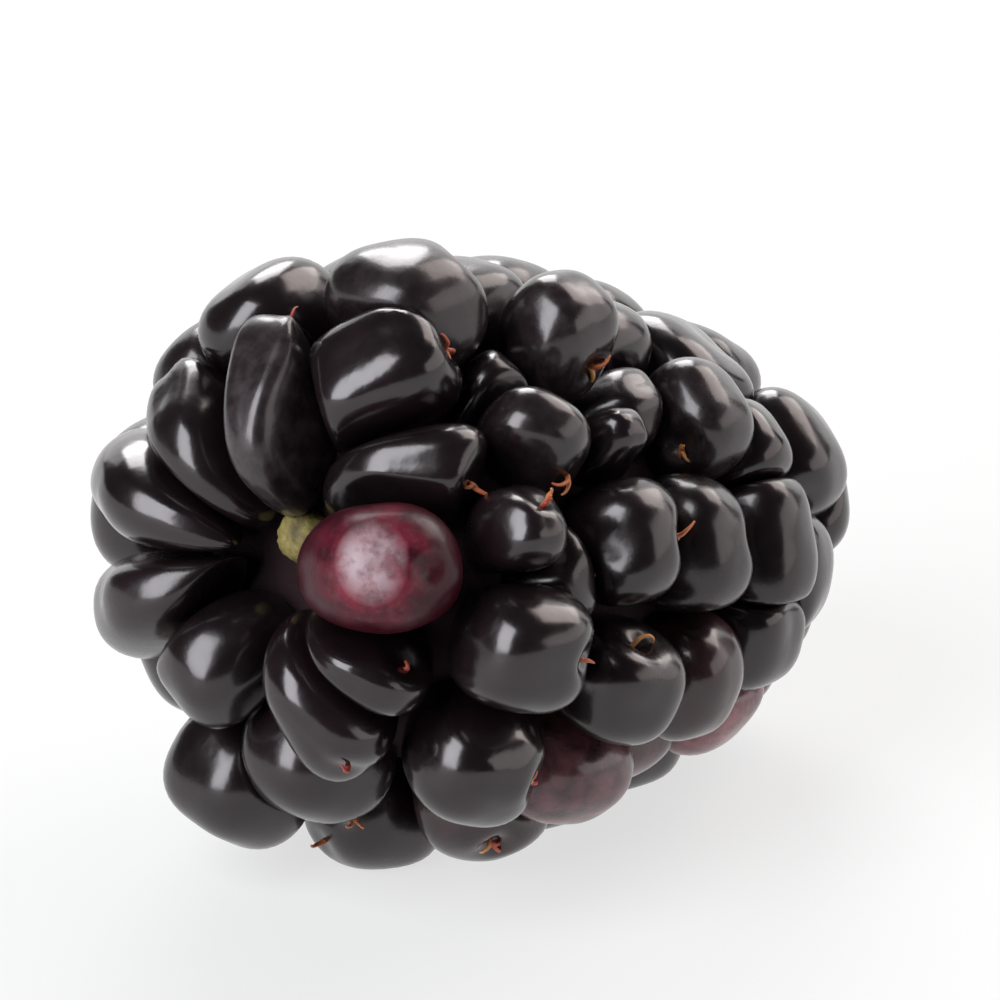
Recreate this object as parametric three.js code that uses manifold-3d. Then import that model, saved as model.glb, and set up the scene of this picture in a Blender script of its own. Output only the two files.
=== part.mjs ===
// A ripe bramble berry, picked and lying on its side, in millimetres with +Z up.
// Drupelets stand in rings round an axis that runs from the stem end (-X) to the tip (+X).
// They are fused with each other and with the core that they grow from. One drupelet is
// still red and sits in its own pocket, and the end of the receptacle shows in the hollow
// where the stem was.

import * as THREE from 'three';
import { mergeVertices } from 'three/addons/utils/BufferGeometryUtils.js';
import Module from 'manifold-3d';

const wasm = await Module();
wasm.setup();

// ---- How the berry lies ----
const TILT_DEG = 14;                 // the tip end droops by this much
const STEM_START = [-13.62, 0, 12.52];   // where the axis starts, above the surface
const STEM_RISE = 0.7;               // the stem end curves up by this much
const STEM_RISE_LENGTH = 8;          // over this much of the axis

// ---- Fit and fineness ----
const GAP = 0.3;                     // between pieces of different colour
const SIDES = 10;                    // of each drupelet
const BANDS = 6;
const CORE_SIDES = 20;
const WIDTH_SHARE = 1.08;            // a drupelet's width over its share of the ring
const LEAST_HALF_WIDTH = 1.5;
const MOST_HALF_WIDTH = 2.7;
const WELD = 1e-4;                   // corners this close together are one
const DRAW_SEED = 41;
const DRAW_SHIFT = 0.16;             // largest drawn shift along the axis and outwards
const DRAW_SIZE = 0.05;              // largest drawn change of size, as a fraction
const DRAW_MULTIPLIER = 1664525;     // of the generator that the draws come from
const DRAW_INCREMENT = 1013904223;

// ---- Rings of drupelets, from the stem end to the tip ----
// along: distance from the start of the axis, radius: of the ring of centres,
// lean: degrees that the drupelets face back towards the stem end,
// half: half length along the berry, high: half height outwards,
// taper: how much narrower a drupelet gets towards the stem end,
// hook: how strongly its end by the stem bends in, per millimetre.
// at: each drupelet's angle round the axis, 0 at +Y and 90 on top. An angle alone takes a
// small seeded draw. A list gives angle, shift along, shift outwards, width and length.
// The last two rings are small drupelets sunk between the others.
const RINGS = [
  {
    along: 2.9, radius: 4.9, lean: 58, half: 3.6, high: 2.4, taper: 0.3, hook: 0.12,
    at: [
      [166, -0.3, 0.45, 1.28, 0.76], [134, 2, 0.2, 1, 0.82], [102, 4.3, 3, 1.3, 0.85],
      [81, 0.1, 0.1, 0.8, 0.8], [38, 0.3, 0, 0.9, 0.85], [8, -0.2, 0.2, 1, 0.95],
      [-31, -0.2, 0, 0.84, 0.88], [-71, -1.6, -1.9, 0.84, 0.52],
      [-131, 0.1, 0.1, 0.74, 0.74], [-157, 0.3, 0.1, 0.72, 0.64],
    ],
  },
  {
    along: 6.4, radius: 7.8, lean: 18, half: 2.5, high: 2.6, taper: 0.05, hook: 0,
    at: [
      [156, -0.2, -0.2, 0.8, 0.55], [134, 1.9, -0.6, 0.6, 0.76], [93, 0.5, 0.8, 0.92, 0.95],
      [60, -1, -0.2, 1, 1], [34, -0.1, -0.4, 0.9, 0.9], -2, [-36, 0, -1, 1, 1],
      [-77, -1.2, 0, 1, 0.95], [-97, -1.4, -1.7, 0.95, 1], [-145, 0.5, 0.2, 0.72, 0.9],
      [-177, -0.1, 0.5, 0.94, 0.86],
    ],
  },
  {
    along: 10.8, radius: 8.2, lean: 2, half: 2.5, high: 2.5, taper: 0, hook: 0,
    at: [
      [160, 0.4, -0.6, 1, 0.7], [137, 0.7, -0.9, 0.6, 0.5], [110, 0.5, 0.6, 0.84, 0.72],
      [84, 0, -0.6, 1, 1], 56, 27, -3, -34, [-66, 0, -0.1, 1, 1], [-92, -1.2, 0, 1, 1],
      [-118, 0, -0.4, 1, 1], [-140, 0.7, -0.35, 1, 0.95], [-167, 0.5, -0.1, 0.84, 0.8],
    ],
  },
  {
    along: 15.5, radius: 7.5, lean: -6, half: 2.4, high: 2.4, taper: 0, hook: 0,
    at: [
      [162, -0.2, -0.4, 0.95, 0.72], [130, 1.4, -0.4, 0.8, 0.7], [94, 0, -0.8, 1, 1], 64,
      32, 0, -34, [-68, 0, 0, 1, 1], [-103, 0, -0.2, 1, 1], [-131, 0.4, -1.5, 1, 1],
      [-163, 0.3, -0.2, 0.9, 0.74],
    ],
  },
  {
    along: 19.5, radius: 6.3, lean: -14, half: 2.3, high: 2.3, taper: -0.05, hook: 0,
    at: [
      [164, 0, -0.2, 1.02, 0.76], [103, 0.4, -0.5, 1, 1], 65, 30, -8, -45,
      [-80, 0, -0.2, 1, 1], [-105, 0, -0.05, 1, 1], [-142, 0.2, -0.5, 1, 1],
      [-169, 0.2, -0.2, 0.8, 0.9], [136, 0, -0.3, 0.75, 0.75],
    ],
  },
  {
    along: 22.8, radius: 5, lean: -28, half: 2.1, high: 2.2, taper: -0.1, hook: 0,
    at: [
      [133, 0.8, -0.4, 1, 1], 82, 38, -8, -52, [-94, 0, 0, 1, 1],
      [-136, -0.3, -0.6, 0.95, 0.9], [177, -0.8, 0, 1.05, 1],
    ],
  },
  {
    along: 25.2, radius: 2.8, lean: -55, half: 2, high: 2.1, taper: -0.1, hook: 0,
    at: [150, 88, 16, -56, -128],
  },
  {
    along: 26.5, radius: 0, lean: -90, half: 1.7, high: 1.8, taper: 0, hook: 0,
    at: [[0, 0, 0, 1, 1]],
  },
  {
    along: 14.1, radius: 7, lean: -2, half: 2.2, high: 2.2, taper: 0, hook: 0,
    at: [[123, 0, -0.5, 0.95, 0.75]],
  },
  {
    along: 8.8, radius: 7, lean: 4, half: 2.2, high: 2.2, taper: 0, hook: 0,
    at: [[113, 0, -0.4, 0.5, 0.75], [168, 0, -0.5, 0.7, 0.8]],
  },
];
const RED_RING = 0;                  // the red drupelet is the first of the first ring
const RED_PLACE = 0;
const RED_TAPER = 0.08;              // it is rounder than the rest of its ring

// ---- Core, as distance along the axis and radius ----
const CORE_PROFILE = [
  [4.2, 0], [4.3, 4.2], [6.2, 6.9], [10.5, 8], [15, 7.4], [19.5, 6.1], [23, 4.5], [25.2, 2.3], [25.8, 0],
];

// ---- End of the receptacle, as distance along its own axis and radius ----
const RECEPTACLE_PROFILE = [[3.2, 0], [3.3, 0.6], [3.6, 1], [4.1, 1.15], [6.2, 0.7], [6.4, 0]];
const RECEPTACLE_RISE = 0.8;         // it stands this far above the middle of the hollow
const RECEPTACLE_SIDES = 14;

// ---- Colours and finish ----
const RIPE = { color: 0x120a10, roughness: 0.28, metalness: 0 };
const RED = { color: 0x5a1526, roughness: 0.3, metalness: 0 };
const GREEN = { color: 0xa8a04e, roughness: 0.7, metalness: 0 };

// ---- The berry's axis and directions across it ----
const tilt = THREE.MathUtils.degToRad(TILT_DEG);
const AXIS = new THREE.Vector3(Math.cos(tilt), 0, -Math.sin(tilt));
const ACROSS = new THREE.Vector3(0, 1, 0);
const UP = new THREE.Vector3(Math.sin(tilt), 0, Math.cos(tilt));
const START = new THREE.Vector3(...STEM_START);

function seededDraws(seed) {
  let state = seed;
  return () => {
    state = (Math.imul(state, DRAW_MULTIPLIER) + DRAW_INCREMENT) >>> 0;
    return state / 2 ** 31 - 1;
  };
}

function pointOnAxis(along) {
  const rise = STEM_RISE * Math.max(0, 1 - along / STEM_RISE_LENGTH);
  return START.clone().addScaledVector(AXIS, along).addScaledVector(UP, rise);
}

function toSolid(geometry) {
  geometry.deleteAttribute('normal');
  geometry.deleteAttribute('uv');
  const merged = mergeVertices(geometry, WELD);
  const vertProperties = new Float32Array(merged.attributes.position.array);
  const triVerts = new Uint32Array(merged.index.array);
  return new wasm.Manifold(new wasm.Mesh({ numProp: 3, vertProperties, triVerts }));
}

function toGeometry(solid) {
  const mesh = solid.getMesh();
  const geometry = new THREE.BufferGeometry();
  geometry.setAttribute('position', new THREE.BufferAttribute(mesh.vertProperties, 3));
  geometry.setIndex(new THREE.BufferAttribute(mesh.triVerts, 1));
  geometry.computeVertexNormals();
  return geometry;
}

// Fusing can seal a tiny hollow between drupelets. The outer body alone is kept, filled.
function filled(solid) {
  return solid.decompose().reduce((most, body) => (body.volume() > most.volume() ? body : most));
}

// Half the angle from a drupelet's neighbour on one side to the one on the other.
function halfShare(angles, place) {
  const before = angles[(place + angles.length - 1) % angles.length];
  const after = angles[(place + 1) % angles.length];
  const apart = (a, b) => Math.abs(THREE.MathUtils.euclideanModulo(a - b + 180, 360) - 180);
  return THREE.MathUtils.degToRad(apart(angles[place], before) + apart(angles[place], after)) / 4;
}

// Works out each drupelet's centre, its own directions and its three half sizes.
function placeDrupelets() {
  const draw = seededDraws(DRAW_SEED);
  return RINGS.map((ring) => {
    const entries = ring.at.map((entry) => (Array.isArray(entry) ? entry
      : [entry, DRAW_SHIFT * draw(), DRAW_SHIFT * draw(), 1 + DRAW_SIZE * draw(), 1 + DRAW_SIZE * draw()]));
    const angles = entries.map((entry) => entry[0]);
    const lean = THREE.MathUtils.degToRad(ring.lean);
    return entries.map(([degrees, along, outwards, wide, long], place) => {
      const angle = THREE.MathUtils.degToRad(degrees);
      const radial = ACROSS.clone().multiplyScalar(Math.cos(angle)).addScaledVector(UP, Math.sin(angle));
      const round = ACROSS.clone().multiplyScalar(-Math.sin(angle)).addScaledVector(UP, Math.cos(angle));
      const out = radial.clone().multiplyScalar(Math.cos(lean)).addScaledVector(AXIS, -Math.sin(lean));
      const onward = AXIS.clone().multiplyScalar(Math.cos(lean)).addScaledVector(radial, Math.sin(lean));
      const share = WIDTH_SHARE * ring.radius * halfShare(angles, place);
      return {
        centre: pointOnAxis(ring.along)
          .addScaledVector(AXIS, along)
          .addScaledVector(radial, ring.radius)
          .addScaledVector(out, outwards),
        round,
        out,
        onward,
        halfWidth: THREE.MathUtils.clamp(share, LEAST_HALF_WIDTH, MOST_HALF_WIDTH) * wide,
        halfLength: ring.half * long,
        halfHeight: ring.high,
        taper: ring.taper,
        hook: ring.hook,
      };
    });
  });
}

// A faceted drupelet with its pole outwards, grown by `extra` on every side.
function drupeletSolid(drupelet, extra = 0) {
  const geometry = new THREE.SphereGeometry(1, SIDES, BANDS);
  const position = geometry.attributes.position;
  for (let i = 0; i < position.count; i += 1) {
    const onward = position.getZ(i);
    const wide = position.getX(i) * (1 + drupelet.taper * onward);
    const length = onward * (drupelet.halfLength + extra);
    position.setXYZ(
      i,
      wide * (drupelet.halfWidth + extra),
      position.getY(i) * (drupelet.halfHeight + extra) - drupelet.hook * Math.min(length, 0) ** 2,
      length,
    );
  }
  const { x, y, z } = drupelet.round.clone().cross(drupelet.out);
  const handed = Math.sign(drupelet.onward.dot(new THREE.Vector3(x, y, z)));
  geometry.applyMatrix4(new THREE.Matrix4().makeBasis(
    drupelet.round.clone().multiplyScalar(handed),
    drupelet.out,
    drupelet.onward,
  ).setPosition(drupelet.centre));
  return toSolid(geometry);
}

// A body turned round the berry's axis, from points of distance along it and radius.
function turnedSolid(profile, sides, extra = 0) {
  const points = profile.map(([along, radius], i) => {
    const end = i === 0 ? -extra : extra;
    return radius === 0 ? new THREE.Vector2(0, along + end) : new THREE.Vector2(radius + extra, along);
  });
  const geometry = new THREE.LatheGeometry(points, sides);
  geometry.applyMatrix4(new THREE.Matrix4().makeBasis(ACROSS.clone().negate(), AXIS, UP)
    .setPosition(pointOnAxis(profile[0][0]).addScaledVector(AXIS, -profile[0][0])));
  return toSolid(geometry);
}

// The receptacle's end, grown by `extra` on every side.
function receptacleSolid(extra = 0) {
  const { x, y, z } = UP.clone().multiplyScalar(RECEPTACLE_RISE);
  return turnedSolid(RECEPTACLE_PROFILE, RECEPTACLE_SIDES, extra).translate([x, y, z]);
}

// Everything below the surface that the berry lies on.
function groundSolid() {
  const size = 80;
  const geometry = new THREE.BoxGeometry(size, size, size);
  geometry.translate(0, 0, -size / 2);
  return toSolid(geometry);
}

function makeMesh(name, solid, finish) {
  const mesh = new THREE.Mesh(toGeometry(solid), new THREE.MeshStandardMaterial(finish));
  mesh.name = name;
  return mesh;
}

function buildBerry() {
  const rings = placeDrupelets();
  const first = rings[RED_RING][RED_PLACE];
  const red = { ...first, taper: RED_TAPER };
  const ripe = rings.flat().filter((drupelet) => drupelet !== first);
  const redPocket = drupeletSolid(red, GAP);
  const pockets = redPocket.add(receptacleSolid(GAP));
  const core = turnedSolid(CORE_PROFILE, CORE_SIDES);
  const fused = ripe.reduce((solid, drupelet) => solid.add(drupeletSolid(drupelet)), core);

  const berry = new THREE.Group();
  berry.add(
    makeMesh('drupelets', filled(fused.subtract(pockets).subtract(groundSolid())), RIPE),
    makeMesh('red_drupelet', drupeletSolid(red), RED),
    makeMesh('receptacle', receptacleSolid().subtract(redPocket), GREEN),
  );
  return berry;
}

export default buildBerry();
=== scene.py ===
"""Dresses the bramble berry: pressed, glossy drupelets, the red one, the receptacle and the dried styles."""

from __future__ import annotations

import logging
import math
from dataclasses import dataclass
from enum import Enum

import bpy
import numpy as np
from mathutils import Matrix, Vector


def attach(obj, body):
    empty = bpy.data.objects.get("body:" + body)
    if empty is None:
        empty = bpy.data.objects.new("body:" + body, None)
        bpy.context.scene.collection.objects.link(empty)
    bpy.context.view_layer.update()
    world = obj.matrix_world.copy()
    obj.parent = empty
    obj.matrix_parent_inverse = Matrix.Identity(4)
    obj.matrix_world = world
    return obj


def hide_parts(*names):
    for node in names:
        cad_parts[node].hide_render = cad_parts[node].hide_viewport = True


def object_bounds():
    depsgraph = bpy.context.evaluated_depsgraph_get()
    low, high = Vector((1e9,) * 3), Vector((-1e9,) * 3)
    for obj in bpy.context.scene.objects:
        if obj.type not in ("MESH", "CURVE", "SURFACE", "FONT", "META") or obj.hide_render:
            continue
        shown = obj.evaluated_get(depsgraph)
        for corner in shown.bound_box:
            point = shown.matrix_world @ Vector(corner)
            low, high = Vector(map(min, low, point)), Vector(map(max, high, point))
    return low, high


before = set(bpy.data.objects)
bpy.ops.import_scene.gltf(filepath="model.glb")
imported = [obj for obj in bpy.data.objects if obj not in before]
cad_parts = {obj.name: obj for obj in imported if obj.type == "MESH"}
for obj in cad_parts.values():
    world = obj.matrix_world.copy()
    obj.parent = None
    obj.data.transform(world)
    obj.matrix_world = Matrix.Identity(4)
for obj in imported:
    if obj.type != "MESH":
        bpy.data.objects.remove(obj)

LOG = logging.getLogger("bramble_berry")
MM = 0.001
BODY = "root"
DRAW_MULTIPLIER = 1664525
DRAW_INCREMENT = 1013904223
DRAW_RANGE = 2**32
Material = bpy.types.Material
Object = bpy.types.Object
Socket = bpy.types.NodeSocket
Array = np.ndarray
Pair = tuple[float, float]
Colour = tuple[float, float, float, float]


class Slot(Enum):
    """The record's material slots."""

    RIPE = "ripe_skin"
    RED = "red_skin"
    RECEPTACLE = "receptacle_flesh"


@dataclass
class SeededDraws:
    """A repeatable row of draws between -1 and 1, from a starting number."""

    state: int

    def next(self) -> float:
        """Returns the next draw, between -1 and 1."""
        self.state = (self.state * DRAW_MULTIPLIER + DRAW_INCREMENT) % DRAW_RANGE
        return 2 * self.state / DRAW_RANGE - 1

    def direction(self) -> Array:
        """Returns three draws as a direction of no set length."""
        return np.array([self.next(), self.next(), self.next()])

    def between(self, low: float, high: float) -> float:
        """Returns the next draw, between two limits.

        Args:
            low: least value.
            high: greatest value.

        Returns:
            A number from low to high.
        """
        return low + (high - low) * (self.next() + 1) / 2


# ---- layout


@dataclass(frozen=True)
class Ring:
    """One ring of drupelets round the berry's axis, in millimetres and degrees.

    `at` holds each drupelet's angle, 0 at +Y and 90 on top. An angle alone takes a small
    seeded draw. A tuple gives angle, shift along, shift outwards, width and length.
    `along` is the distance from the stem end, `lean` how far the drupelets face back
    towards it, `half` and `high` their half length and half height, `taper` how much
    narrower they get towards it, and `hook` how much their stem end curls under.
    """

    along: float
    radius: float
    lean: float
    half: float
    high: float
    taper: float
    hook: float
    at: tuple


# From the stem end to the tip. The last two rings are small drupelets sunk between the others.
RINGS = (
    Ring(2.9, 4.9, 58, 3.6, 2.4, 0.3, 0.12, (
        (166, -0.3, 0.45, 1.28, 0.76), (134, 2, 0.2, 1, 0.82), (102, 4.3, 3, 1.3, 0.85),
        (81, 0.1, 0.1, 0.8, 0.8), (38, 0.3, 0, 0.9, 0.85), (8, -0.2, 0.2, 1, 0.95),
        (-31, -0.2, 0, 0.84, 0.88), (-71, -1.6, -1.9, 0.84, 0.52), (-131, 0.1, 0.1, 0.74, 0.74),
        (-157, 0.3, 0.1, 0.72, 0.64),
    )),
    Ring(6.4, 7.8, 18, 2.5, 2.6, 0.05, 0, (
        (156, -0.2, -0.2, 0.8, 0.55), (134, 1.9, -0.6, 0.6, 0.76), (93, 0.5, 0.8, 0.92, 0.95),
        (60, -1, -0.2, 1, 1), (34, -0.1, -0.4, 0.9, 0.9), -2, (-36, 0, -1, 1, 1),
        (-77, -1.2, 0, 1, 0.95), (-97, -1.4, -1.7, 0.95, 1), (-145, 0.5, 0.2, 0.72, 0.9),
        (-177, -0.1, 0.5, 0.94, 0.86),
    )),
    Ring(10.8, 8.2, 2, 2.5, 2.5, 0, 0, (
        (160, 0.4, -0.6, 1, 0.7), (137, 0.7, -0.9, 0.6, 0.5), (110, 0.5, 0.6, 0.84, 0.72),
        (84, 0, -0.6, 1, 1), 56, 27, -3, -34, (-66, 0, -0.1, 1, 1), (-92, -1.2, 0, 1, 1),
        (-118, 0, -0.4, 1, 1), (-140, 0.7, -0.35, 1, 0.95), (-167, 0.5, -0.1, 0.84, 0.8),
    )),
    Ring(15.5, 7.5, -6, 2.4, 2.4, 0, 0, (
        (162, -0.2, -0.4, 0.95, 0.72), (130, 1.4, -0.4, 0.8, 0.7), (94, 0, -0.8, 1, 1), 64, 32, 0,
        -34, (-68, 0, 0, 1, 1), (-103, 0, -0.2, 1, 1), (-131, 0.4, -1.5, 1, 1),
        (-163, 0.3, -0.2, 0.9, 0.74),
    )),
    Ring(19.5, 6.3, -14, 2.3, 2.3, -0.05, 0, (
        (164, 0, -0.2, 1.02, 0.76), (103, 0.4, -0.5, 1, 1), 65, 30, -8, -45, (-80, 0, -0.2, 1, 1),
        (-105, 0, -0.05, 1, 1), (-142, 0.2, -0.5, 1, 1), (-169, 0.2, -0.2, 0.8, 0.9),
        (136, 0, -0.3, 0.75, 0.75),
    )),
    Ring(22.8, 5, -28, 2.1, 2.2, -0.1, 0, (
        (133, 0.8, -0.4, 1, 1), 82, 38, -8, -52, (-94, 0, 0, 1, 1), (-136, -0.3, -0.6, 0.95, 0.9),
        (177, -0.8, 0, 1.05, 1),
    )),
    Ring(25.2, 2.8, -55, 2, 2.1, -0.1, 0, (150, 88, 16, -56, -128)),
    Ring(26.5, 0, -90, 1.7, 1.8, 0, 0, ((0, 0, 0, 1, 1),)),
    Ring(14.1, 7, -2, 2.2, 2.2, 0, 0, ((123, 0, -0.5, 0.95, 0.75),)),
    Ring(8.8, 7, 4, 2.2, 2.2, 0, 0, ((113, 0, -0.4, 0.5, 0.75), (168, 0, -0.5, 0.7, 0.8))),
)
RED = (0, 0)


@dataclass(frozen=True)
class Character:
    """How one drupelet differs from the rest.

    `style` is where its style grew: degrees round the outward pole, 90 towards the tip, and degrees
    from that pole. `pit` is the style's pit, as depth and width in millimetres. `firmness` says how
    little it gives way, `maroon` runs from 0 for black to 1, `taper` is added to its ring's,
    `fullness` is 2 for an egg and more for squarer cheeks, and `twist` turns it round its outward
    pole, in degrees. `strands` is how many hairs its style has left. The crown, given like `style`, is
    where painted light gathers: a painted highlight on the red drupelet, and grey wax dust with a
    painted sheen on the black ones; its narrowing narrows that place. The wax value, up to 1, is wax
    on its skin that also paints in a grey sheen.
    """

    style: Pair | None = None
    pit: Pair | None = None
    firmness: float = 1.0
    maroon: float = 0.0
    taper: float = 0.0
    fullness: float = 2.6
    twist: float = 0.0
    strands: int | None = None
    sheen_crown: Pair = (90, 0)
    sheen_crown_narrowing: float = 0.0
    wax_and_sheen: float = 0.0


PLAIN = Character()
CHARACTERS = {
    # The red drupelet's crown sets where its painted highlight lies.
    RED: Character(
        (90, 48), (0.4, 0.5), firmness=1.4, taper=-0.22, fullness=2.2, sheen_crown=(155, 12),
        sheen_crown_narrowing=0.85,
    ),
    (0, 1): Character((60, 75), (0.3, 0.6), taper=-0.14, fullness=3.0, twist=20, strands=3),
    (0, 2): Character((85, 82), (0.5, 0.7), taper=-0.18, fullness=2.9, twist=30, strands=3),
    (0, 3): Character(
        (95, 66), (0.5, 0.7), firmness=1.25, taper=0.12, fullness=4.5, twist=-10, strands=2, wax_and_sheen=0.55,
    ),
    (0, 4): Character(taper=-0.06, fullness=2.9),
    (0, 5): Character((170, 80), fullness=2.1),
    (0, 7): Character((55, 58), (0.3, 0.6), twist=20, strands=2),
    (0, 8): Character((90, 45)),
    (0, 9): Character((150, 70)),
    (1, 0): Character((150, 45), (0.5, 0.7), firmness=1.1, strands=3),
    (1, 1): Character((60, 70), twist=45, strands=2, wax_and_sheen=0.15),
    (1, 2): Character(wax_and_sheen=0.2),
    (1, 8): Character((120, 50), strands=3),
    (1, 9): Character((120, 50), strands=3),
    (1, 10): Character((100, 45), firmness=1.08),
    (2, 0): Character((90, 40), (0.3, 0.6)),
    (2, 2): Character((15, 88), (0.35, 0.6), firmness=1.05, strands=3, wax_and_sheen=0.35),
    (2, 9): Character((-70, 50)),
    (2, 10): Character((-150, 30), maroon=0.08, strands=3),
    (2, 11): Character(maroon=0.6),
    (2, 12): Character((180, 75)),
    (3, 0): Character((90, 40), (0.3, 0.6)),
    (3, 1): Character((-60, 80), strands=3, wax_and_sheen=0.35),
    (3, 9): Character(maroon=0.3),
    (3, 10): Character(maroon=0.1),
    (4, 8): Character(maroon=1.0),
    (5, 0): Character((-30, 70)),
    (5, 6): Character(maroon=0.6),
}


@dataclass
class Drupelet:
    """One drupelet's place, its own directions and its half sizes, in millimetres.

    The rows of `axes` are its directions: round the berry, outwards and onwards to the tip.
    """

    centre: Array
    axes: Array
    half: Array
    taper: float
    hook: float
    character: Character
    key: tuple[int, int]

    def reach(self, direction: Array) -> float:
        """How far the drupelet reaches from its centre.

        Args:
            direction: a unit vector.

        Returns:
            Millimetres from the centre to the skin's tangent plane.
        """
        return float(np.linalg.norm(self.half * (self.axes @ direction)))


@dataclass
class BerryLayout:
    """Places every drupelet round the berry's drooping axis."""

    tilt_deg: float = 14.0
    stem_start: tuple[float, float, float] = (-13.62, 0.0, 12.52)
    stem_rise: float = 0.7
    stem_rise_length: float = 8.0
    width_share: float = 1.08
    least_half_width: float = 1.5
    most_half_width: float = 2.7
    draw_seed: int = 41
    draw_shift: float = 0.16
    draw_size: float = 0.05

    def __post_init__(self) -> None:
        """Works out the axis and the directions across it."""
        tilt = math.radians(self.tilt_deg)
        self.axis = np.array([math.cos(tilt), 0.0, -math.sin(tilt)])
        self.across = np.array([0.0, 1.0, 0.0])
        self.up = np.array([math.sin(tilt), 0.0, math.cos(tilt)])

    def on_axis(self, along: float) -> Array:
        """Returns the point of the axis at a distance from its start.

        Args:
            along: millimetres from the stem end.

        Returns:
            The point, in millimetres.
        """
        rise = self.stem_rise * max(0.0, 1 - along / self.stem_rise_length)
        return np.array(self.stem_start) + self.axis * along + self.up * rise

    def half_share(self, angles: list[float], place: int) -> float:
        """Half the angle between a drupelet's two neighbours in its ring, shared with them.

        Args:
            angles: the ring's angles in degrees.
            place: the drupelet's place in the ring.

        Returns:
            Radians on each side of the drupelet.
        """
        neighbours = angles[place - 1], angles[(place + 1) % len(angles)]
        apart = [abs((angles[place] - other + 180) % 360 - 180) for other in neighbours]
        return math.radians(sum(apart)) / 4

    def place(self) -> list[Drupelet]:
        """Returns every drupelet, ring by ring."""
        draws = SeededDraws(self.draw_seed)
        drupelets = []
        for ring_number, ring in enumerate(RINGS):
            entries = [
                entry if isinstance(entry, tuple) else (
                    entry,
                    self.draw_shift * draws.next(),
                    self.draw_shift * draws.next(),
                    1 + self.draw_size * draws.next(),
                    1 + self.draw_size * draws.next(),
                )
                for entry in ring.at
            ]
            angles = [entry[0] for entry in entries]
            lean = math.radians(ring.lean)
            for number, (degrees, along, outwards, wide, long) in enumerate(entries):
                angle = math.radians(degrees)
                radial = math.cos(angle) * self.across + math.sin(angle) * self.up
                round_ = -math.sin(angle) * self.across + math.cos(angle) * self.up
                out = math.cos(lean) * radial - math.sin(lean) * self.axis
                onward = math.cos(lean) * self.axis + math.sin(lean) * radial
                character = CHARACTERS.get((ring_number, number), PLAIN)
                twist = math.radians(character.twist)
                round_, onward = (
                    math.cos(twist) * round_ - math.sin(twist) * onward,
                    math.cos(twist) * onward + math.sin(twist) * round_,
                )
                share = self.width_share * ring.radius * self.half_share(angles, number)
                half_width = min(max(share, self.least_half_width), self.most_half_width) * wide
                middle = self.on_axis(ring.along) + self.axis * along + radial * ring.radius
                drupelets.append(Drupelet(
                    centre=middle + out * outwards,
                    axes=np.array([round_, out, onward]),
                    half=np.array([half_width, ring.high, ring.half * long]),
                    taper=ring.taper + character.taper,
                    hook=ring.hook,
                    character=character,
                    key=(ring_number, number),
                ))
        return drupelets


# ---- meshes


def add_object(name: str, data: bpy.types.ID) -> Object:
    """Adds an object to the scene, at the origin.

    Args:
        name: the object's name.
        data: its mesh, light or camera.

    Returns:
        The new object.
    """
    added = bpy.data.objects.new(name, data)
    bpy.context.scene.collection.objects.link(added)
    return added


def closed_faces(rows: int, around: int) -> list:
    """Returns the faces of a closed body: a pole, rows of points round it, and a pole.

    Args:
        rows: how many rows.
        around: points in each row.

    Returns:
        Lists of point numbers.
    """
    ends = [(i, (i + 1) % around) for i in range(around)]
    faces = [[0, 1 + j, 1 + i] for i, j in ends]
    for row in range(rows - 1):
        near, far = 1 + row * around, 1 + (row + 1) * around
        faces += [[near + i, near + j, far + j, far + i] for i, j in ends]
    last = 1 + (rows - 1) * around
    return faces + [[last + i, last + j, last + around] for i, j in ends]


def add_mesh(
    name: str,
    points: Array,
    faces: list,
    finish: Material | None = None,
    values: dict[str, Array] | None = None,
    edges: list | None = None,
) -> Object:
    """Makes a smooth mesh object from points in millimetres.

    Args:
        name: the object's name.
        points: one row of x, y, z for each point.
        faces: lists of point numbers.
        finish: its material.
        values: numbers to store on the points, by attribute name.
        edges: pairs of point numbers, for edges without a face.

    Returns:
        The new object.
    """
    mesh = bpy.data.meshes.new(name)
    mesh.from_pydata((points * MM).tolist(), edges or [], faces)
    mesh.shade_smooth()
    for label, numbers in (values or {}).items():
        stored = mesh.attributes.new(label, "FLOAT", "POINT")
        stored.data.foreach_set("value", np.asarray(numbers, dtype=np.float32))
    mesh.update()
    if finish is not None:
        mesh.materials.append(finish)
    return add_object(name, mesh)


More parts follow.
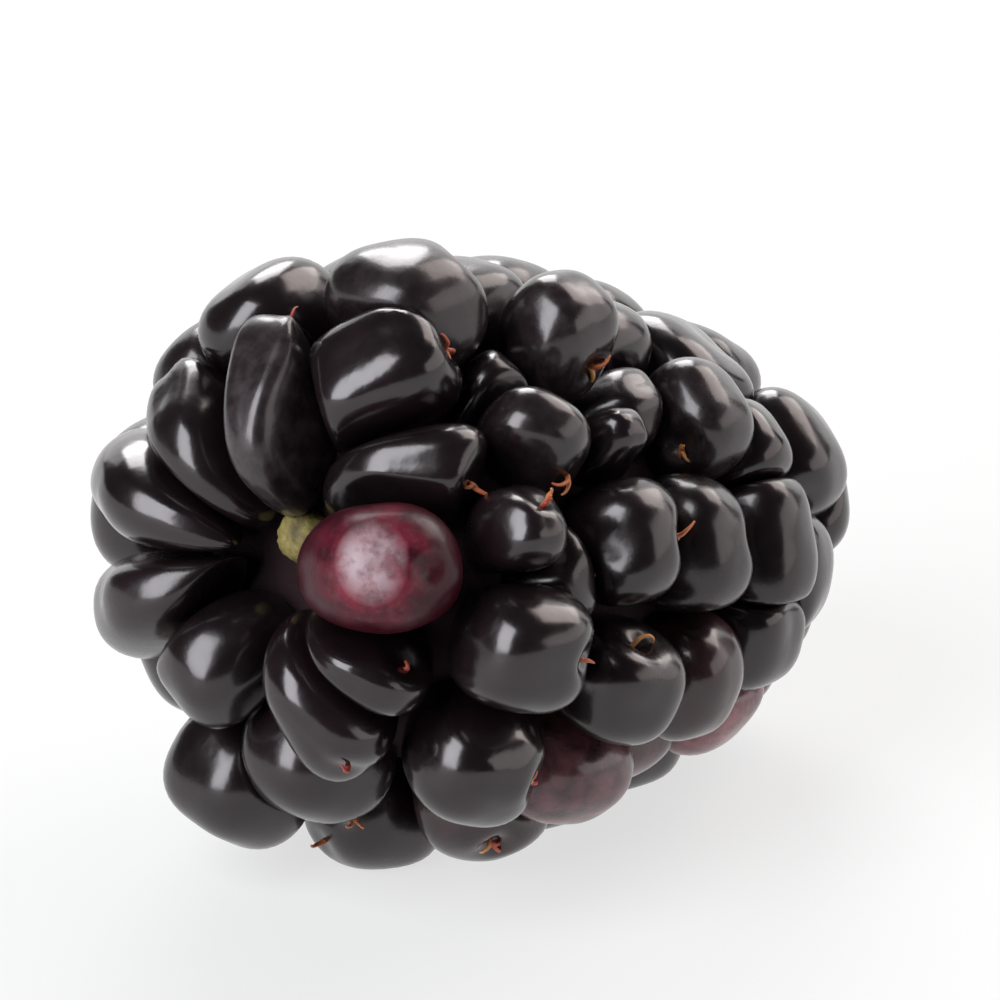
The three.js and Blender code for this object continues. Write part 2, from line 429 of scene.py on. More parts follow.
@dataclass(frozen=True)
class PressedSkin:
    """Shapes one drupelet's skin: a rounded body pressed flat by its neighbours."""

    around: int = 44
    outer_bands: int = 20
    root_bands: int = 4
    outer_reach_deg: float = 118.0
    press_reach: float = 8.0
    press_softness: float = 0.2
    press_gap: float = 0.03
    floor_softness: float = 0.12
    swell: float = 1.05
    lump_height: float = 0.13
    lump_waves: tuple[float, ...] = (1.3, 2.1, 3.2, 4.4)
    lump_turns: float = 1.6
    lumps_of_each: int = 2
    least_way: float = 0.2
    pit_turn_deg: float = 90.0
    pit_turn_spread_deg: float = 26.0
    pit_depth: Pair = (0.25, 0.65)
    pit_width: Pair = (0.55, 0.95)
    pit_polar_deg: Pair = (52.0, 74.0)
    dent_polar_deg: Pair = (15.0, 50.0)
    dent_depth: Pair = (0.05, 0.3)
    dent_width: Pair = (0.9, 1.5)
    root_narrowing: float = 0.16

    def directions(self) -> tuple[Array, list]:
        """Returns the unit directions of a closed globe with its pole outwards, and its faces."""
        reach = math.radians(self.outer_reach_deg)
        outer = reach * (np.arange(1, self.outer_bands + 1) / self.outer_bands)
        inner = np.linspace(reach, math.pi, self.root_bands + 1)[1:-1]
        polar = np.concatenate([outer, inner])
        turn = 2 * math.pi * np.arange(self.around) / self.around
        p, t = np.meshgrid(polar, turn, indexing="ij")
        body = np.stack([np.sin(p) * np.cos(t), np.cos(p), np.sin(p) * np.sin(t)], axis=-1)
        points = np.vstack([[0.0, 1.0, 0.0], body.reshape(-1, 3), [0.0, -1.0, 0.0]])
        return points, closed_faces(len(polar), self.around)

    def lumps(self, points: Array, draws: SeededDraws) -> Array:
        """Low, smooth unevenness of the skin.

        Args:
            points: unit directions.
            draws: the berry's row of draws.

        Returns:
            A height for each point, in millimetres.
        """
        height = np.zeros(len(points))
        for waves in self.lump_waves:
            for _ in range(self.lumps_of_each):
                way = draws.direction()
                way /= max(np.linalg.norm(way), self.least_way)
                turns = points @ way * waves * self.lump_turns
                height += np.sin(turns + math.pi * draws.next()) / waves
        return height * self.lump_height / 2

    @staticmethod
    def spot(turn: float, polar: float) -> Array:
        """Returns the unit direction of a spot on the skin.

        Args:
            turn: angle round the outward pole, in radians, with the tip's side at a quarter turn.
            polar: angle from the outward pole, in radians.

        Returns:
            The direction, as round, out and onward parts.
        """
        away = math.sin(polar)
        return np.array([away * math.cos(turn), math.cos(polar), away * math.sin(turn)])

    @staticmethod
    def dimple(points: Array, middle: Array, depth: float, width: float) -> Array:
        """Returns how deep a round dimple is at each point.

        Args:
            points: the skin's points, in millimetres.
            middle: the dimple's middle.
            depth: its depth.
            width: its width.

        Returns:
            Millimetres at each point.
        """
        return depth * np.exp(-(np.linalg.norm(points - middle, axis=1) / width) ** 2)

    def pressed(self, points: Array, drupelet: Drupelet, others: list[Drupelet]) -> Array:
        """Presses a skin flat where it meets its neighbours and the surface below.

        Args:
            points: the loose skin's points, in millimetres.
            drupelet: the drupelet that it belongs to.
            others: every drupelet of the berry.

        Returns:
            The pressed points.
        """
        soft, low = self.press_softness, self.floor_softness
        for other in others:
            gap = other.centre - drupelet.centre
            distance = np.linalg.norm(gap)
            if other is drupelet or distance > self.press_reach:
                continue
            way = gap / distance
            mine = drupelet.reach(way) * drupelet.character.firmness
            theirs = other.reach(way) * other.character.firmness
            limit = distance * mine / (mine + theirs) - self.press_gap
            along = (points - drupelet.centre) @ way
            flat = limit - soft * np.logaddexp(0, (limit - along) / soft)
            points = points + (flat - along)[:, None] * way
        points[:, 2] = low * np.logaddexp(0, points[:, 2] / low)
        return points

    def shape(
        self, drupelet: Drupelet, others: list[Drupelet], draws: SeededDraws
    ) -> dict[str, Array]:
        """Shapes the skin of one drupelet.

        Args:
            drupelet: the drupelet to shape.
            others: every drupelet of the berry.
            draws: the berry's row of draws.

        Returns:
            The points in millimetres, how near each is to the crown, where painted light gathers, and
            where the style grows and the way it faces.
        """
        unit, _ = self.directions()
        character = drupelet.character
        fullness = character.fullness
        fuller = (np.abs(unit) ** fullness).sum(axis=1) ** (-1 / fullness)
        half = drupelet.half * np.array([self.swell, 1.0, self.swell])
        local = unit * fuller[:, None] * half
        local[:, 0] *= 1 + drupelet.taper * unit[:, 2]
        local[:, [0, 2]] *= 1 - self.root_narrowing * np.clip(-unit[:, 1:2], 0, 1)
        turn = self.pit_turn_deg + self.pit_turn_spread_deg * draws.next()
        turn, polar = character.style or (turn, draws.between(*self.pit_polar_deg))
        pit = self.spot(math.radians(turn), math.radians(polar))
        dent_turn = math.pi * draws.next()
        dent = self.spot(dent_turn, math.radians(draws.between(*self.dent_polar_deg)))
        depth, width = character.pit or (draws.between(*self.pit_depth), draws.between(*self.pit_width))
        sunk = self.dimple(local, pit * half, depth, width)
        depth, width = draws.between(*self.dent_depth), draws.between(*self.dent_width)
        sunk += self.dimple(local, dent * half, depth, width)
        normal = unit / half
        normal /= np.linalg.norm(normal, axis=1, keepdims=True)
        local += normal * (self.lumps(unit, draws) - sunk)[:, None]
        local[:, 1] -= drupelet.hook * np.minimum(local[:, 2], 0) ** 2
        # The crown is the spot where painted light gathers: the red drupelet's painted highlight, the black
        # ones' wax and painted sheen.
        sheen_middle = self.spot(*np.radians(character.sheen_crown))
        narrowed = character.sheen_crown_narrowing * (unit[:, 2] - sheen_middle[2]) ** 2
        points = self.pressed(drupelet.centre + local @ drupelet.axes, drupelet, others)
        facing = (pit / half) @ drupelet.axes
        return {
            "points": points,
            "sheen_crown": np.clip(unit @ sheen_middle - narrowed, 0, 1),
            "foot": points[int(np.argmax(unit @ pit))],
            "facing": facing / np.linalg.norm(facing),
        }


# ---- finishes


class Nodes:
    """Adds nodes to one node tree."""

    def __init__(self, tree: bpy.types.NodeTree) -> None:
        """Empties the tree.

        Args:
            tree: the node tree.
        """
        self.tree = tree
        tree.nodes.clear()

    def add(self, kind: str, settings: dict | None = None, **inputs: object) -> bpy.types.Node:
        """Adds a node.

        Args:
            kind: the node's type.
            settings: the node's own properties.
            inputs: input values or sockets, by name with _ for a space.

        Returns:
            The node.
        """
        node = self.tree.nodes.new(kind)
        for label, value in (settings or {}).items():
            setattr(node, label, value)
        for label, value in inputs.items():
            self.feed(node.inputs[label.replace("_", " ")], value)
        return node

    def feed(self, socket: Socket, value: object) -> None:
        """Links a socket into an input, or sets the input's value.

        Args:
            socket: the input.
            value: a socket or a plain value.
        """
        if isinstance(value, Socket):
            self.tree.links.new(value, socket)
        else:
            socket.default_value = value

    def maths(self, operation: str, first: object, second: object) -> Socket:
        """Returns a sum, product or other result of two numbers.

        Args:
            operation: the Math node's operation.
            first: a number or socket.
            second: a number or socket.

        Returns:
            The result's socket.
        """
        node = self.add("ShaderNodeMath", {"operation": operation})
        self.feed(node.inputs[0], first)
        self.feed(node.inputs[1], second)
        return node.outputs[0]


@dataclass(frozen=True)
class Pattern:
    """Noise, by features per millimetre, octaves and how strong the fine ones are.

    Its values from `low` to `high` become `to_low` to `to_high`.
    """

    scale: float
    detail: float
    roughness: float = 0.5
    low: float = 0
    high: float = 1
    to_low: float = 0
    to_high: float = 1


class Shader(Nodes):
    """Builds the nodes of one material, with its pattern in millimetres of Object space."""

    def __init__(self, name: str) -> None:
        """Makes an empty material.

        Args:
            name: the material's name.
        """
        self.material = bpy.data.materials.new(name)
        self.material.use_nodes = True
        super().__init__(self.material.node_tree)
        place = self.add("ShaderNodeTexCoord").outputs["Object"]
        scaled = self.add("ShaderNodeVectorMath", {"operation": "SCALE"}, Vector=place, Scale=1 / MM)
        self.place = scaled.outputs[0]

    def noise(self, pattern: Pattern) -> Socket:
        """Returns a pattern's plain noise, before its range is changed.

        Args:
            pattern: the pattern.

        Returns:
            The noise's socket.
        """
        inputs = {"Scale": pattern.scale, "Detail": pattern.detail, "Roughness": pattern.roughness}
        return self.add("ShaderNodeTexNoise", Vector=self.place, **inputs).outputs["Fac"]

    def drawn(self, pattern: Pattern) -> Socket:
        """Returns a pattern's noise, moved to its range.

        Args:
            pattern: the pattern.

        Returns:
            The result's socket.
        """
        limits = pattern.low, pattern.high, pattern.to_low, pattern.to_high
        return self.ranged(self.noise(pattern), *limits)

    def ranged(
        self, value: Socket, low: float, high: float, to_low: float = 0, to_high: float = 1
    ) -> Socket:
        """Returns a value moved from one range to another, and held inside it.

        Args:
            value: the value's socket.
            low: start of the first range.
            high: end of the first range.
            to_low: start of the second range.
            to_high: end of the second range.

        Returns:
            The result's socket.
        """
        inputs = {"From_Min": low, "From_Max": high, "To_Min": to_low, "To_Max": to_high}
        return self.add("ShaderNodeMapRange", Value=value, **inputs).outputs["Result"]

    def attribute(self, label: str) -> Socket:
        """Returns a number stored on the mesh's points.

        Args:
            label: the attribute's name.

        Returns:
            The number's socket.
        """
        return self.add("ShaderNodeAttribute", {"attribute_name": label}).outputs["Fac"]

    def mixed(self, factor: object, first: object, second: object) -> Socket:
        """Returns a mix of two colours.

        Args:
            factor: 0 for the first, 1 for the second.
            first: a colour or socket.
            second: a colour or socket.

        Returns:
            The colour's socket.
        """
        node = self.add("ShaderNodeMix", {"data_type": "RGBA"})
        self.feed(node.inputs[0], factor)
        self.feed(node.inputs[6], first)
        self.feed(node.inputs[7], second)
        return node.outputs[2]

    def bumped(
        self, height: Socket, strength: float, distance_mm: float, below: Socket | None = None
    ) -> Socket:
        """Returns a normal raised by a height.

        Args:
            height: the height's socket.
            strength: 0 to 1.
            distance_mm: the height of 1, in millimetres.
            below: a normal that this one is added to.

        Returns:
            The normal's socket.
        """
        inputs = {} if below is None else {"Normal": below}
        inputs.update(Strength=strength, Distance=distance_mm * MM, Height=height)
        return self.add("ShaderNodeBump", **inputs).outputs["Normal"]

    def finish(self, **inputs: object) -> Material:
        """Adds the surface shader and the output.

        Args:
            inputs: the surface shader's inputs, by name with _ for a space.

        Returns:
            The material.
        """
        surface = self.add("ShaderNodeBsdfPrincipled", **inputs)
        self.add("ShaderNodeOutputMaterial", Surface=surface.outputs[0])
        return self.material


@dataclass(frozen=True)
class RipeSkin:
    """Glossy black skin, with faint waxy greys that are partly wax and partly a painted sheen, and maroon
    where a drupelet isn't quite ripe.
    """

    black: Colour = (0.0046, 0.003, 0.0034, 1)
    plum: Colour = (0.0085, 0.0042, 0.0053, 1)
    maroon: Colour = (0.25, 0.095, 0.108, 1)
    # The two greys below are real wax that also paints in a grey sheen.
    wax_and_sheen: Colour = (0.07, 0.062, 0.072, 1)
    waxy_sheen_grey: Colour = (0.062, 0.047, 0.052, 1)
    shine: Colour = (1.0, 0.93, 0.95, 1)
    patches: Pattern = Pattern(0.35, 2, 0.5, 0.35, 0.7)
    blush: Pattern = Pattern(0.9, 5, 0.6, 0.35, 0.62, 0.15)
    sheen_specks: Pattern = Pattern(1.7, 6, 0.6, 0.42, 0.72, 0.15)
    roughness: Pattern = Pattern(1.1, 4, 0.6, 0.3, 0.7, 0.15, 0.24)
    ripples: Pattern = Pattern(1.5, 2)
    ripple_bump: Pair = (0.3, 0.05)
    pores: Pattern = Pattern(14, 2)
    pore_bump: Pair = (0.12, 0.01)
    dust_and_sheen_most: float = 0.05
    duller: float = 0.08

    def build(self) -> Material:
        """Returns the material."""
        shader = Shader("ripe_skin")
        ground = shader.mixed(shader.drawn(self.patches), self.black, self.plum)
        unripe = shader.maths("MULTIPLY", shader.attribute("maroon"), shader.drawn(self.blush))
        colour = shader.mixed(unripe, ground, self.maroon)
        # Grey wax dust round the crown and waxy patches: real wax, and a painted sheen.
        sheen_specks = shader.drawn(self.sheen_specks)
        dust_and_sheen = shader.maths("MULTIPLY", sheen_specks, shader.attribute("sheen_crown"))
        colour = shader.mixed(shader.maths("MULTIPLY", dust_and_sheen, self.dust_and_sheen_most), colour, self.wax_and_sheen)
        waxy_sheen_mask = shader.maths("MULTIPLY", shader.attribute("wax_and_sheen"), sheen_specks)
        colour = shader.mixed(waxy_sheen_mask, colour, self.waxy_sheen_grey)
        dullness = shader.maths("ADD", shader.attribute("dull"), shader.attribute("wax_and_sheen"))
        dull = shader.maths("MULTIPLY", dullness, self.duller)
        skin = shader.bumped(shader.noise(self.ripples), *self.ripple_bump)
        return shader.finish(
            Base_Color=colour,
            Roughness=shader.maths("ADD", shader.drawn(self.roughness), dull),
            Specular_Tint=self.shine,
            Normal=shader.bumped(shader.noise(self.pores), *self.pore_bump, skin),
            IOR=1.54,
            Coat_Weight=0.25,
            Coat_Roughness=0.12,
            Coat_IOR=1.45,
        )


@dataclass(frozen=True)
class RedSkin:
    """Purple-red skin of a drupelet that isn't ripe, mottled and faintly see-through, with painted light:
    brighter round its crown, deeper towards its edges, and a pale streaked patch and pale specks there as a
    painted highlight.
    """

    # Deep and bright mix by the mottle and by nearness to the crown: brighter there is painted light, deeper
    # towards the edges painted shade.
    deep: Colour = (0.028, 0.0013, 0.005, 1)
    bright: Colour = (0.14, 0.0075, 0.022, 1)
    # A pale pink-white painted highlight, laid round the crown in streaks and specks.
    painted_highlight: Colour = (0.4, 0.295, 0.325, 1)
    mottle: Pattern = Pattern(1.1, 4, 0.55, 0.35, 0.68)
    sheen_specks: Pattern = Pattern(3.4, 4, 0.6, 0.5, 0.75, 0, 0.1)
    highlight_streaks: Pattern = Pattern(1.6, 5, 0.6, 0.36, 0.58, 0.3, 0.85)
    highlight_reach: Pair = (0.74, 0.97)
    lit_flush_reach: Pair = (0.2, 0.75)
    lit_flush_least: float = 0.1
    roughness: Pair = (0.36, 0.46)
    ripples: Pattern = Pattern(2.2, 4)
    ripple_bump: Pair = (0.5, 0.06)
    pores: Pattern = Pattern(12, 2)
    pore_bump: Pair = (0.3, 0.012)

    def build(self) -> Material:
        """Returns the material."""
        shader = Shader("red_skin")
        sheen_crown = shader.attribute("sheen_crown")
        mottle = shader.drawn(self.mottle)
        # Painted light: brighter round the crown, deeper towards the edges.
        lit_flush = shader.ranged(sheen_crown, *self.lit_flush_reach, self.lit_flush_least)
        colour = shader.mixed(shader.maths("MULTIPLY", mottle, lit_flush), self.deep, self.bright)
        # Painted highlight: pale specks and a pale streaked patch round the crown.
        sheen_specks = shader.maths("MULTIPLY", shader.drawn(self.sheen_specks), sheen_crown)
        colour = shader.mixed(sheen_specks, colour, self.painted_highlight)
        reach = shader.ranged(sheen_crown, *self.highlight_reach)
        highlight_patch = shader.maths("MULTIPLY", reach, shader.drawn(self.highlight_streaks))
        skin = shader.bumped(shader.noise(self.ripples), *self.ripple_bump)
        return shader.finish(
            Base_Color=shader.mixed(highlight_patch, colour, self.painted_highlight),
            Roughness=shader.ranged(mottle, 0, 1, *self.roughness),
            Normal=shader.bumped(shader.noise(self.pores), *self.pore_bump, skin),
            IOR=1.32,
            Subsurface_Weight=0.3,
            Subsurface_Radius=(0.9, 0.22, 0.2),
            Subsurface_Scale=0.7 * MM,
            Coat_Weight=0.1,
            Coat_Roughness=0.18,
        )


@dataclass(frozen=True)
class CoreShade:
    """Dark core that shows at the bottom of the creases: painted shade, a near-black body where the creases
    are in shade.
    """

    # Both colours are painted shade.
    shade_dark: Colour = (0.009, 0.0055, 0.006, 1)
    shade_wine: Colour = (0.018, 0.007, 0.009, 1)
    grain: Pattern = Pattern(1.8, 4)
    grain_bump: Pair = (0.6, 0.2)

    def build(self) -> Material:
        """Returns the material."""
        shader = Shader("core_shade")
        grain = shader.noise(self.grain)
        return shader.finish(
            Base_Color=shader.mixed(grain, self.shade_dark, self.shade_wine),
            Roughness=0.85,
            Specular_IOR_Level=0.15,
            Normal=shader.bumped(grain, *self.grain_bump),
        )


@dataclass(frozen=True)
class ReceptacleFlesh:
    """Torn yellow-green flesh of the receptacle's end."""

    green: Colour = (0.16, 0.125, 0.03, 1)
    cream: Colour = (0.27, 0.215, 0.075, 1)
    brown: Colour = (0.05, 0.03, 0.015, 1)
    brown_depth: Pair = (0.3, 1.3)
    fibres: Pattern = Pattern(3.5, 5, 0.65)
    fibre_reach: Pair = (0.35, 0.65)
    fibre_bump: Pair = (0.8, 0.12)
    stains: Pattern = Pattern(1.4, 4, 0.5, 0.5, 0.7, 0, 0.8)

    def build(self) -> Material:
        """Returns the material."""
        shader = Shader("receptacle_flesh")
        fibres = shader.noise(self.fibres)
        colour = shader.mixed(shader.ranged(fibres, *self.fibre_reach), self.green, self.cream)
        colour = shader.mixed(shader.drawn(self.stains), colour, self.brown)
        deep = shader.ranged(shader.attribute("depth"), *self.brown_depth)
        return shader.finish(
            Base_Color=shader.mixed(deep, colour, self.brown),
            Roughness=0.68,
            Normal=shader.bumped(fibres, *self.fibre_bump),
            Subsurface_Weight=0.2,
            Subsurface_Radius=(0.8, 0.7, 0.3),
            Subsurface_Scale=0.5 * MM,
        )


@dataclass(frozen=True)
class DriedStyle:
    """Dry, slightly shiny hair, from straw through orange-brown to red."""

    straw: Colour = (0.50, 0.26, 0.10, 1)
    orange: Colour = (0.42, 0.11, 0.035, 1)
    red: Colour = (0.30, 0.035, 0.03, 1)
    orange_tone: float = 0.5

    def build(self) -> Material:
        """Returns the material."""
        shader = Shader("dried_style")
        tone = shader.attribute("tone")
        colour = shader.mixed(shader.ranged(tone, 0, self.orange_tone), self.straw, self.orange)
        colour = shader.mixed(shader.ranged(tone, self.orange_tone, 1), colour, self.red)
        return shader.finish(Base_Color=colour, Roughness=0.5)


@dataclass(frozen=True)
class PaleFloor:
    """Plain pale floor that glows a little, like a light table."""

    grey: Colour = (0.17, 0.17, 0.17, 1)
    glow: float = 0.68

    def build(self) -> Material:
        """Returns the material."""
        return Shader("pale_floor").finish(
            Base_Color=self.grey,
            Roughness=0.8,
            Specular_IOR_Level=0.2,
            Emission_Color=(1, 1, 1, 1),
            Emission_Strength=self.glow,
        )


# ---- pieces


@dataclass
class DrupeletHead:
    """The black drupelets and the core they grow from, and the red one beside them."""

    layout: BerryLayout
    skin: PressedSkin = PressedSkin()
    skin_seed: int = 7
    dull_seed: int = 19
    core_profile: tuple = (
        (4.5, 0.0), (4.6, 3.8), (6.3, 6.1), (10.5, 7.0), (15.0, 6.4), (19.5, 5.1), (23.0, 3.6),
        (25.2, 1.6), (25.6, 0.0),
    )
    core_sides: int = 48

    def __post_init__(self) -> None:
        """Places and shapes every drupelet."""
        self.drupelets = self.layout.place()
        draws = SeededDraws(self.skin_seed)
        self.shapes = [self.skin.shape(each, self.drupelets, draws) for each in self.drupelets]

    def skins(self, name: str, red: bool, finish: Material) -> Object:
        """Joins the skins of the black drupelets, or of the red one, into a piece.

        Args:
            name: the piece's name.
            red: whether it is the red one.
            finish: its finish.

        Returns:
            The piece.
        """
        _, globe = self.skin.directions()
        draws = SeededDraws(self.dull_seed)
        points, faces = [], []
        values = {"sheen_crown": [], "maroon": [], "wax_and_sheen": [], "dull": []}
        for drupelet, shape in zip(self.drupelets, self.shapes):
            if (drupelet.key == RED) != red:
                continue
            start = sum(len(block) for block in points)
            faces += [[start + corner for corner in face] for face in globe]
            points.append(shape["points"])
            even = np.ones(len(shape["points"]))
            values["sheen_crown"].append(shape["sheen_crown"])
            values["maroon"].append(even * drupelet.character.maroon)
            values["wax_and_sheen"].append(even * drupelet.character.wax_and_sheen)
            values["dull"].append(even * draws.between(0, 1))
        joined = {label: np.concatenate(parts) for label, parts in values.items()}
        return add_mesh(name, np.vstack(points), faces, finish, joined)

    def core_piece(self, finish: Material) -> Object:
        """Builds the core that fills the bottom of the creases.

        Args:
            finish: the core's painted shade.

        Returns:
            The piece.
        """
        return add_mesh("core", *turned(self.layout, self.core_profile, self.core_sides), finish)


def turned(layout: BerryLayout, profile: tuple, sides: int) -> tuple[Array, list]:
    """Turns a profile round the berry's axis into a closed body.

    Args:
        layout: the berry's layout.
        profile: distances along the axis and radii, with both ends on the axis.
        sides: steps round the axis.

    Returns:
        Points and faces.
    """
    points = [layout.on_axis(profile[0][0])]
    for along, radius in profile[1:-1]:
        for i in range(sides):
            angle = 2 * math.pi * i / sides
            way = math.cos(angle) * layout.across + math.sin(angle) * layout.up
            points.append(layout.on_axis(along) + radius * way)
    points.append(layout.on_axis(profile[-1][0]))
    return np.array(points), closed_faces(len(profile) - 2, sides)


@dataclass
class ReceptacleEnd:
    """The torn end of the receptacle in the stem hollow."""

    layout: BerryLayout
    profile: tuple = (
        (3.3, 0.0), (3.33, 0.3), (3.42, 0.55), (3.62, 0.78), (3.95, 0.9), (4.5, 0.9), (5.4, 0.75),
        (6.3, 0.55), (6.4, 0.0),
    )
    rise: float = 0.8
    sides: int = 40
    ridge: float = 0.035
    seed: int = 23

    def piece(self, finish: Material) -> Object:
        """Builds the receptacle's end, with ridges where the flesh tore.

        Args:
            finish: the receptacle's flesh.

        Returns:
            The piece.
        """
        points, faces = turned(self.layout, self.profile, self.sides)
        draws = SeededDraws(self.seed)
        axis, middle = self.layout.axis, self.layout.on_axis(self.profile[0][0])
        for i in range(1, len(points) - 1):
            away = points[i] - middle
            away -= axis * (away @ axis)
            points[i] += away * self.ridge * draws.next() + axis * self.ridge * draws.next()
        depth = (points - middle) @ axis
        raised = points + self.layout.up * self.rise
        return add_mesh("receptacle_end", raised, faces, finish, {"depth": depth})


@dataclass
class DriedStyles:
    """Dried styles, one to three at the foot of a pit in many drupelets' skin, in millimetres."""

    head: DrupeletHead
    name: str = "dried_styles"
    seed: int = 97
    share_bare: float = 0.2
    share_single: float = 0.35
    steps: int = 9
    length: Pair = (0.6, 1.3)
    curl_deg: Pair = (70.0, 250.0)
    curl_power: float = 1.4
    wobble: float = 0.175
    least_spin: float = 0.05
    root_depth: float = 0.25
    half_width: float = 0.1
    thinning: float = 0.65
    thinning_power: float = 1.5
    sides: int = 6
    resolution: int = 3
    clear: float = 0.05
    crease: float = 0.9
    least_inside: float = 0.1

    def path(self, foot: Array, facing: Array, draws: SeededDraws) -> Array:
        """Draws one style's path: it leaves the skin, then curls over.

        Args:
            foot: where it grows.
            facing: the way it leaves the skin.
            draws: the styles' row of draws.

        Returns:
            Points in millimetres.
        """
        spin = draws.direction()
        spin -= facing * (spin @ facing)
        spin /= max(np.linalg.norm(spin), self.least_spin)
        side = np.cross(spin, facing)
        length = draws.between(*self.length)
        curl = math.radians(draws.between(*self.curl_deg))
        step = length / (self.steps - 1)
        points = [foot - facing * self.root_depth]
        for i in range(1, self.steps):
            turn = curl * (i / self.steps) ** self.curl_power
            way = math.cos(turn) * facing + math.sin(turn) * side + self.wobble * draws.direction()
            point = points[-1] + step * way / np.linalg.norm(way)
            points.append(self.cleared(point) if i > 1 else point)
        return np.array(points)

    def cleared(self, point: Array) -> Array:
        """Moves a point out of any drupelet that it lies in, and above the surface below.

        Args:
            point: the point.

        Returns:
            The moved point.
        """
        for drupelet in self.head.drupelets:
            half = drupelet.half * self.crease + self.clear
            local = (drupelet.axes @ (point - drupelet.centre)) / half
            inside = np.linalg.norm(local)
            if inside < 1:
                outside = local / max(inside, self.least_inside) * half
                point = drupelet.centre + outside @ drupelet.axes
        point[2] = max(point[2], 2 * self.half_width)
        return point

    def guide(self) -> Object:
        """Returns the styles' paths as a mesh of edges, with each point's thickness and tone."""
        draws = SeededDraws(self.seed)
        points, edges, thickness, tone = [], [], [], []
        for drupelet, shape in zip(self.head.drupelets, self.head.shapes):
            bare = draws.between(0, 1) < self.share_bare and drupelet.character.strands is None
            drawn = 1 if draws.between(0, 1) < self.share_single else 2
            for _ in range(drupelet.character.strands or drawn):
                path = self.path(shape["foot"], shape["facing"], draws)
                shade = draws.between(0, 1)
                if bare or drupelet.key == RED:
                    continue
                start, last = len(points), self.steps - 1
                points += list(path)
                edges += [(start + i, start + i + 1) for i in range(last)]
                thinner = [(i / last) ** self.thinning_power for i in range(self.steps)]
                thickness += [1 - self.thinning * share for share in thinner]
                tone += [shade] * self.steps
        values = {"thickness": thickness, "tone": tone}
        return add_mesh("style_paths", np.array(points), [], values=values, edges=edges)

    def sweep_tree(self) -> bpy.types.GeometryNodeTree:
        """Builds the node tree that sweeps a tapering hair along each path."""
        tree = bpy.data.node_groups.new("style_sweep", "GeometryNodeTree")
        sockets = {"Geometry": "Geometry", "Half Width": "Float", "Sides": "Int", "Finish": "Material"}
        for label, kind in sockets.items():
            tree.interface.new_socket(label, in_out="INPUT", socket_type="NodeSocket" + kind)
        tree.interface.new_socket("Geometry", in_out="OUTPUT", socket_type="NodeSocketGeometry")
        nodes = Nodes(tree)
        given = nodes.add("NodeGroupInput").outputs
        curve = nodes.add("GeometryNodeMeshToCurve", Mesh=given["Geometry"]).outputs[0]
        rounded = {"spline_type": "CATMULL_ROM"}
        curve = nodes.add("GeometryNodeCurveSplineType", rounded, Curve=curve).outputs[0]
        finer = nodes.add("GeometryNodeSetSplineResolution", Geometry=curve, Resolution=self.resolution)
        stored = {"data_type": "FLOAT"}
        thickness = nodes.add("GeometryNodeInputNamedAttribute", stored, Name="thickness")
        radius = nodes.maths("MULTIPLY", thickness.outputs["Attribute"], given["Half Width"])
        circle = nodes.add("GeometryNodeCurvePrimitiveCircle", Resolution=given["Sides"], Radius=1.0)
        swept = {"Profile_Curve": circle.outputs["Curve"], "Scale": radius, "Fill_Caps": True}
        hairs = nodes.add("GeometryNodeCurveToMesh", Curve=finer.outputs[0], **swept)
        plain = nodes.add("GeometryNodeRealizeInstances", Geometry=hairs.outputs["Mesh"]).outputs[0]
        dressed = nodes.add("GeometryNodeSetMaterial", Geometry=plain, Material=given["Finish"])
        nodes.add("NodeGroupOutput", Geometry=dressed.outputs[0])
        return tree

    def piece(self, finish: Material) -> Object:
        """Builds the styles as one plain mesh.

        Args:
            finish: the dried style's finish.

        Returns:
            The piece.
        """
        guide, tree = self.guide(), self.sweep_tree()
        modifier = guide.modifiers.new("sweep", "NODES")
        modifier.node_group = tree
        values = {"Half Width": self.half_width * MM, "Sides": self.sides, "Finish": finish}
        for item in tree.interface.items_tree:
            if item.in_out == "INPUT" and item.name in values:
                modifier[item.identifier] = values[item.name]
        graph = bpy.context.evaluated_depsgraph_get()
        mesh = bpy.data.meshes.new_from_object(guide.evaluated_get(graph))
        mesh.name = self.name
        mesh.shade_smooth()
        guide.modifiers.remove(modifier)
        bpy.data.objects.remove(guide)
        return add_object(self.name, mesh)


# ---- studio


def stand(thing: Object, aim: Vector, azimuth: float, elevation: float, distance: float) -> None:
    """Stands a light or the camera round the berry, facing it.

    Args:
        thing: the light or camera.
        aim: the point that it faces.
        azimuth: degrees, 0 at -Y and growing towards +X.
        elevation: degrees above the floor.
        distance: metres from the point.
    """
    turn, rise = math.radians(azimuth), math.radians(elevation)
    flat = math.cos(rise)
    way = Vector((math.sin(turn) * flat, -math.cos(turn) * flat, math.sin(rise)))
    thing.location = aim + way * distance
    thing.rotation_euler = way.to_track_quat("Z", "Y").to_euler()


@dataclass(frozen=True)
class Softbox:
    """A soft light, by where it stands and how large and bright it is, in degrees and metres."""

    name: str
    azimuth: float
    elevation: float
    distance: float
    width: float
    height: float
    radiance: float
    colour: tuple[float, float, float]

    def build(self, aim: Vector) -> None:
        """Adds the light.

        Args:
            aim: the point that it faces.
        """
        lamp = bpy.data.lights.new(self.name, "AREA")
        lamp.shape = "RECTANGLE"
        lamp.size, lamp.size_y = self.width, self.height
        lamp.energy = self.radiance * math.pi * self.width * self.height
        lamp.color = self.colour
        light = add_object(self.name, lamp)
        light.visible_camera = False
        stand(light, aim, self.azimuth, self.elevation, self.distance)


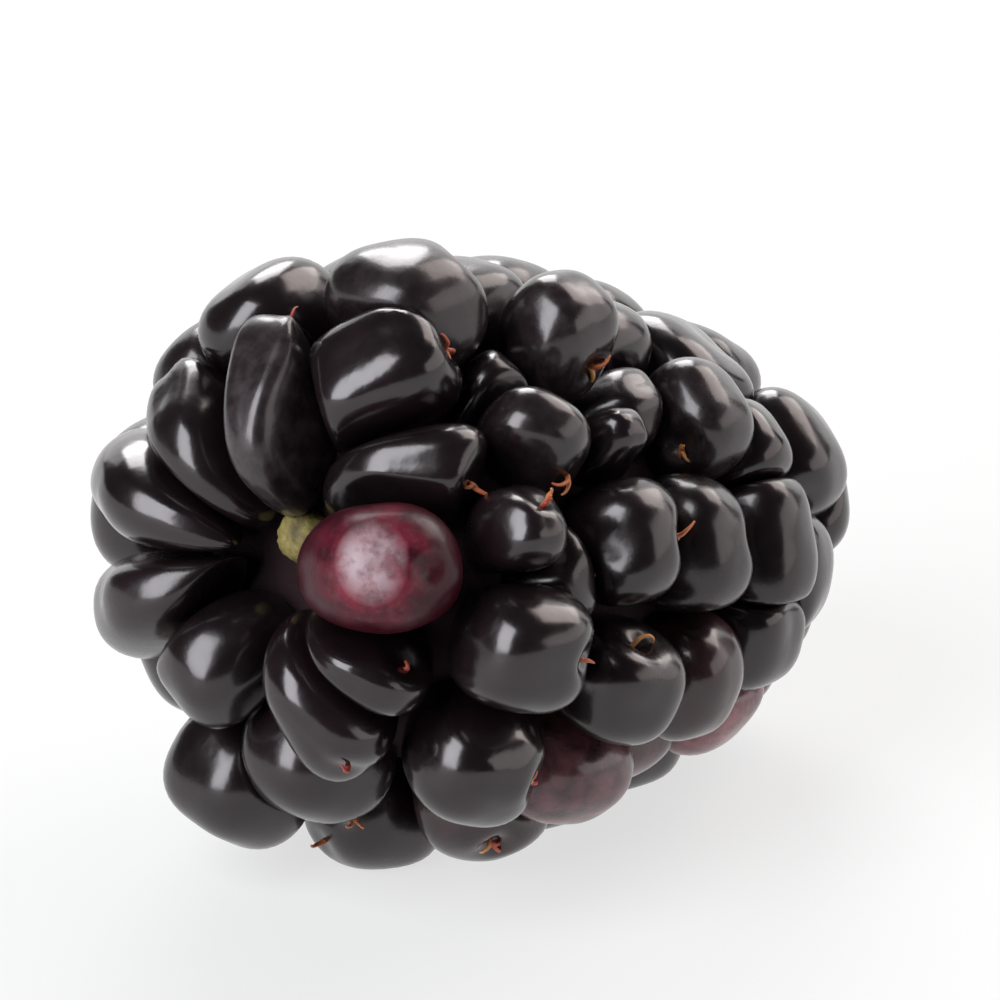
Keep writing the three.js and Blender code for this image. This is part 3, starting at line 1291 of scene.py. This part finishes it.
@dataclass
class Studio:
    """Pale floor, soft light and the camera, in degrees and metres, with the sensor in millimetres."""

    azimuth: float = -46.0
    elevation: float = 24.0
    distance: float = 0.6
    frame_width: float = 0.0335
    sensor: float = 36.0
    clip: Pair = (0.01, 10.0)
    floor_half: float = 1.5
    background: float = 0.97
    fill: float = 0.05
    softboxes: tuple[Softbox, ...] = (
        Softbox("left_softbox", -92, 32, 0.45, 0.26, 0.5, 8.2, (0.93, 0.97, 1.0)),
        Softbox("right_softbox", 84, 42, 0.5, 0.34, 0.32, 4.6, (1.0, 0.92, 0.87)),
        Softbox("back_softbox", 142, 40, 0.55, 0.24, 0.3, 9.0, (1.0, 1.0, 1.0)),
        Softbox("backdrop", 128, 20, 1.3, 2.1, 1.0, 1.5, (1.0, 1.0, 1.0)),
        Softbox("right_sweep", 42, 15, 1.2, 1.7, 0.6, 1.7, (1.0, 0.94, 0.93)),
    )

    def floor(self) -> Object:
        """Returns the floor."""
        corners = np.array([(-1, -1, 0), (1, -1, 0), (1, 1, 0), (-1, 1, 0)])
        return add_mesh("floor", corners * self.floor_half / MM, [[0, 1, 2, 3]], PaleFloor().build())

    def world(self) -> None:
        """Makes surroundings that look pale and light the berry only a little."""
        world = bpy.data.worlds.new("studio")
        world.use_nodes = True
        nodes = Nodes(world.node_tree)
        seen = nodes.add("ShaderNodeLightPath").outputs["Is Camera Ray"]
        glow = nodes.add("ShaderNodeMapRange", Value=seen, To_Min=self.fill, To_Max=self.background)
        sky = nodes.add("ShaderNodeBackground", Strength=glow.outputs["Result"])
        nodes.add("ShaderNodeOutputWorld", Surface=sky.outputs["Background"])
        bpy.context.scene.world = world

    def camera(self, aim: Vector) -> None:
        """Makes the scene's camera.

        Args:
            aim: the point in the middle of the frame.
        """
        lens = bpy.data.cameras.new("camera")
        lens.sensor_width = self.sensor
        lens.lens = self.sensor * self.distance / self.frame_width
        lens.clip_start, lens.clip_end = self.clip
        camera = add_object("camera", lens)
        stand(camera, aim, self.azimuth, self.elevation, self.distance)
        bpy.context.scene.camera = camera

    def build(self, aim: Vector) -> Object:
        """Builds the whole studio.

        Args:
            aim: the berry's middle.

        Returns:
            The floor.
        """
        bpy.context.scene.view_settings.view_transform = "Standard"
        self.world()
        self.camera(aim)
        for softbox in self.softboxes:
            softbox.build(aim)
        return self.floor()


def hand_over(piece: Object, slot: Slot, *nodes: str) -> None:
    """Gives a finished piece its body and hides the CAD nodes that it stands for.

    Args:
        piece: the piece.
        slot: the record's material slot; not used.
        nodes: the CAD nodes that it replaces.
    """
    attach(piece, BODY)
    if nodes:
        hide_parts(*nodes)
    LOG.info("%s: %d faces", piece.name, len(piece.data.polygons))


def main() -> None:
    """Builds the berry's pieces, then the studio round them."""
    logging.basicConfig(level=logging.INFO, format="%(name)s %(message)s")
    cad_low, cad_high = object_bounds()
    layout = BerryLayout()
    head = DrupeletHead(layout)
    hand_over(head.skins("ripe_drupelets", False, RipeSkin().build()), Slot.RIPE, "drupelets")
    # The core's near-black colour is painted shade in the creases.
    hand_over(head.core_piece(CoreShade().build()), Slot.RIPE)
    red = head.skins("red_drupelet_skin", True, RedSkin().build())
    hand_over(red, Slot.RED, "red_drupelet")
    hand_over(ReceptacleEnd(layout).piece(ReceptacleFlesh().build()), Slot.RECEPTACLE, "receptacle")
    hand_over(DriedStyles(head).piece(DriedStyle().build()), Slot.RIPE)
    aim = (cad_low + cad_high) / 2
    Studio().build(aim)


if __name__ == "__main__":
    main()
